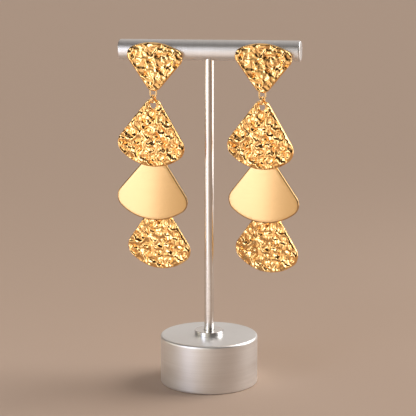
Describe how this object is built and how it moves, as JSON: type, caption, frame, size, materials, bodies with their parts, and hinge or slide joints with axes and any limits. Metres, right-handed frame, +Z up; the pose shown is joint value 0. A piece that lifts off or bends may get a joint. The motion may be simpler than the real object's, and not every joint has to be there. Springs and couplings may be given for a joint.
{
  "type": "chandelier earrings on a t-bar stand",
  "caption": "Chandelier earrings of tiered gold fan plates, hanging on jump rings from a round-bar T stand with a turned metal base.",
  "frame": {"origin": "centre of the underside of the round base, on the surface that the stand rests on", "axes": "+Z up the stem, +X along the bar to the viewer's right, +Y to the back; the fans face -Y"},
  "size_m": [0.0736, 0.0388, 0.1364],
  "materials": {
    "hammered_gold": "bright gold plating over a hammered, creased face",
    "satin_gold": "satin gold plating, plain",
    "wire_gold": "polished gold-plated wire",
    "satin_metal": "satin turned, fine brushed lines",
    "polished_metal": "polished"
  },
  "bodies": {
    "stand": {"base": "satin_metal", "foot_collar": "polished_metal", "stem": "polished_metal", "bar": "satin_metal", "left_stud_fan": "hammered_gold", "left_ear_nut": "wire_gold", "right_stud_fan": "hammered_gold", "right_ear_nut": "wire_gold"},
    "left_drop": {"left_top_ring": "wire_gold", "left_upper_fan": "hammered_gold", "left_upper_ring": "wire_gold", "left_smooth_fan": "satin_gold", "left_lower_ring": "wire_gold", "left_lower_fan": "hammered_gold"},
    "right_drop": {"right_top_ring": "wire_gold", "right_upper_fan": "hammered_gold", "right_upper_ring": "wire_gold", "right_smooth_fan": "satin_gold", "right_lower_ring": "wire_gold", "right_lower_fan": "hammered_gold"}
  },
  "joints": [
    {"name": "left_swing", "type": "hinge", "parent": "stand", "child": "left_drop", "pos_m": [-0.0211, -0.00505, 0.11426], "axis": [1, 0, 0], "range_deg": [-30, 30]},
    {"name": "right_swing", "type": "hinge", "parent": "stand", "child": "right_drop", "pos_m": [0.0219, -0.00505, 0.11426], "axis": [1, 0, 0], "range_deg": [-30, 30]}
  ]
}
